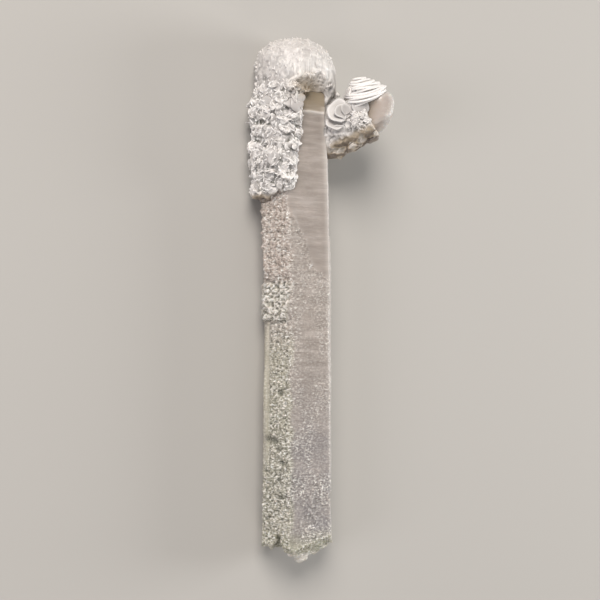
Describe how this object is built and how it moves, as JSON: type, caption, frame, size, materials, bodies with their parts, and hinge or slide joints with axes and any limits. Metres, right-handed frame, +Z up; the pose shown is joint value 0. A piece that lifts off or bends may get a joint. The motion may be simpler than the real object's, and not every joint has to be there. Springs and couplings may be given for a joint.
{
  "type": "quartz floater crystal specimen",
  "caption": "Long doubly ended cloudy quartz crystal with a small side crystal and a white crust of curved calcite blades over its tip, one flank and the side crystal.",
  "frame": {"origin": "middle of the specimen's footprint, on the surface that it lies on", "axes": "+Y along the long crystal, towards its crusted tip; +Z up, away from the prism face it lies on; the side crystal leans to +X"},
  "size_m": [0.0486, 0.18, 0.0295],
  "materials": {
    "cloudy_quartz": "cloudy, part see-through quartz with fine cross striations, sugary on the narrow face, stained green by chlorite towards the root",
    "white_calcite": "white, tightly packed thin curved blades with a satin sheen"
  },
  "bodies": {
    "root": {"quartz_crystal": "cloudy_quartz", "bladed_crust": "white_calcite", "side_crust": "white_calcite"}
  },
  "joints": []
}
